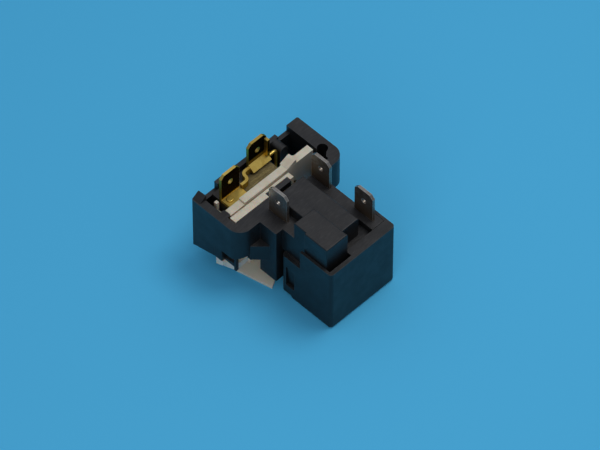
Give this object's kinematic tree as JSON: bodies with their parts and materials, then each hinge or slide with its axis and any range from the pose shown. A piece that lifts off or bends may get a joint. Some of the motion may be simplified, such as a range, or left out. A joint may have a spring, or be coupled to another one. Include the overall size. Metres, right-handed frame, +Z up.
{
  "type": "compressor start relay",
  "caption": "Plug-in start relay and overload protector for a small sealed compressor, with pin sockets below and push-on blades on top.",
  "frame": {"origin": "middle of the whole part's bounding box, on the plane that it rests on", "axes": "+X from the wing to the cup, +Y along the wing, +Z up through the blades, away from the compressor's pins"},
  "size_m": [0.041, 0.0374, 0.0324],
  "materials": {
    "main_housing": "moulded black",
    "lower_cup": "moulded black",
    "insulator_carrier": "moulded off-white",
    "protector_base": "pressed phenolic",
    "protector_case": "drawn steel",
    "bimetal_disc": "rolled",
    "centre_stud": "turned",
    "near_fixed_contact": "silver plated",
    "far_fixed_contact": "silver plated",
    "near_moving_contact": "silver plated",
    "far_moving_contact": "silver plated",
    "near_brass_blade": "stamped",
    "far_brass_blade": "stamped",
    "near_blade_rivet": "peened",
    "heater_strip": "rolled",
    "heater_hook": "drawn",
    "near_terminal": "tinned",
    "middle_terminal": "tinned",
    "far_terminal": "tinned",
    "start_pin_socket": "rolled",
    "run_pin_socket": "rolled",
    "common_pin_socket": "rolled",
    "common_jumper": "stamped",
    "ptc_pill": "fired, silvered faces",
    "inner_pill_spring": "spring temper",
    "outer_pill_spring": "spring temper",
    "insulating_sheet": "film"
  },
  "bodies": {
    "root": {"main_housing": "main_housing", "lower_cup": "lower_cup", "insulator_carrier": "insulator_carrier", "protector_base": "protector_base", "protector_case": "protector_case", "bimetal_disc": "bimetal_disc", "centre_stud": "centre_stud", "near_fixed_contact": "near_fixed_contact", "far_fixed_contact": "far_fixed_contact", "near_moving_contact": "near_moving_contact", "far_moving_contact": "far_moving_contact", "near_brass_blade": "near_brass_blade", "far_brass_blade": "far_brass_blade", "near_blade_rivet": "near_blade_rivet", "heater_strip": "heater_strip", "heater_hook": "heater_hook", "near_terminal": "near_terminal", "middle_terminal": "middle_terminal", "far_terminal": "far_terminal", "start_pin_socket": "start_pin_socket", "run_pin_socket": "run_pin_socket", "common_pin_socket": "common_pin_socket", "common_jumper": "common_jumper", "ptc_pill": "ptc_pill", "inner_pill_spring": "inner_pill_spring", "outer_pill_spring": "outer_pill_spring", "insulating_sheet": "insulating_sheet"}
  },
  "joints": []
}
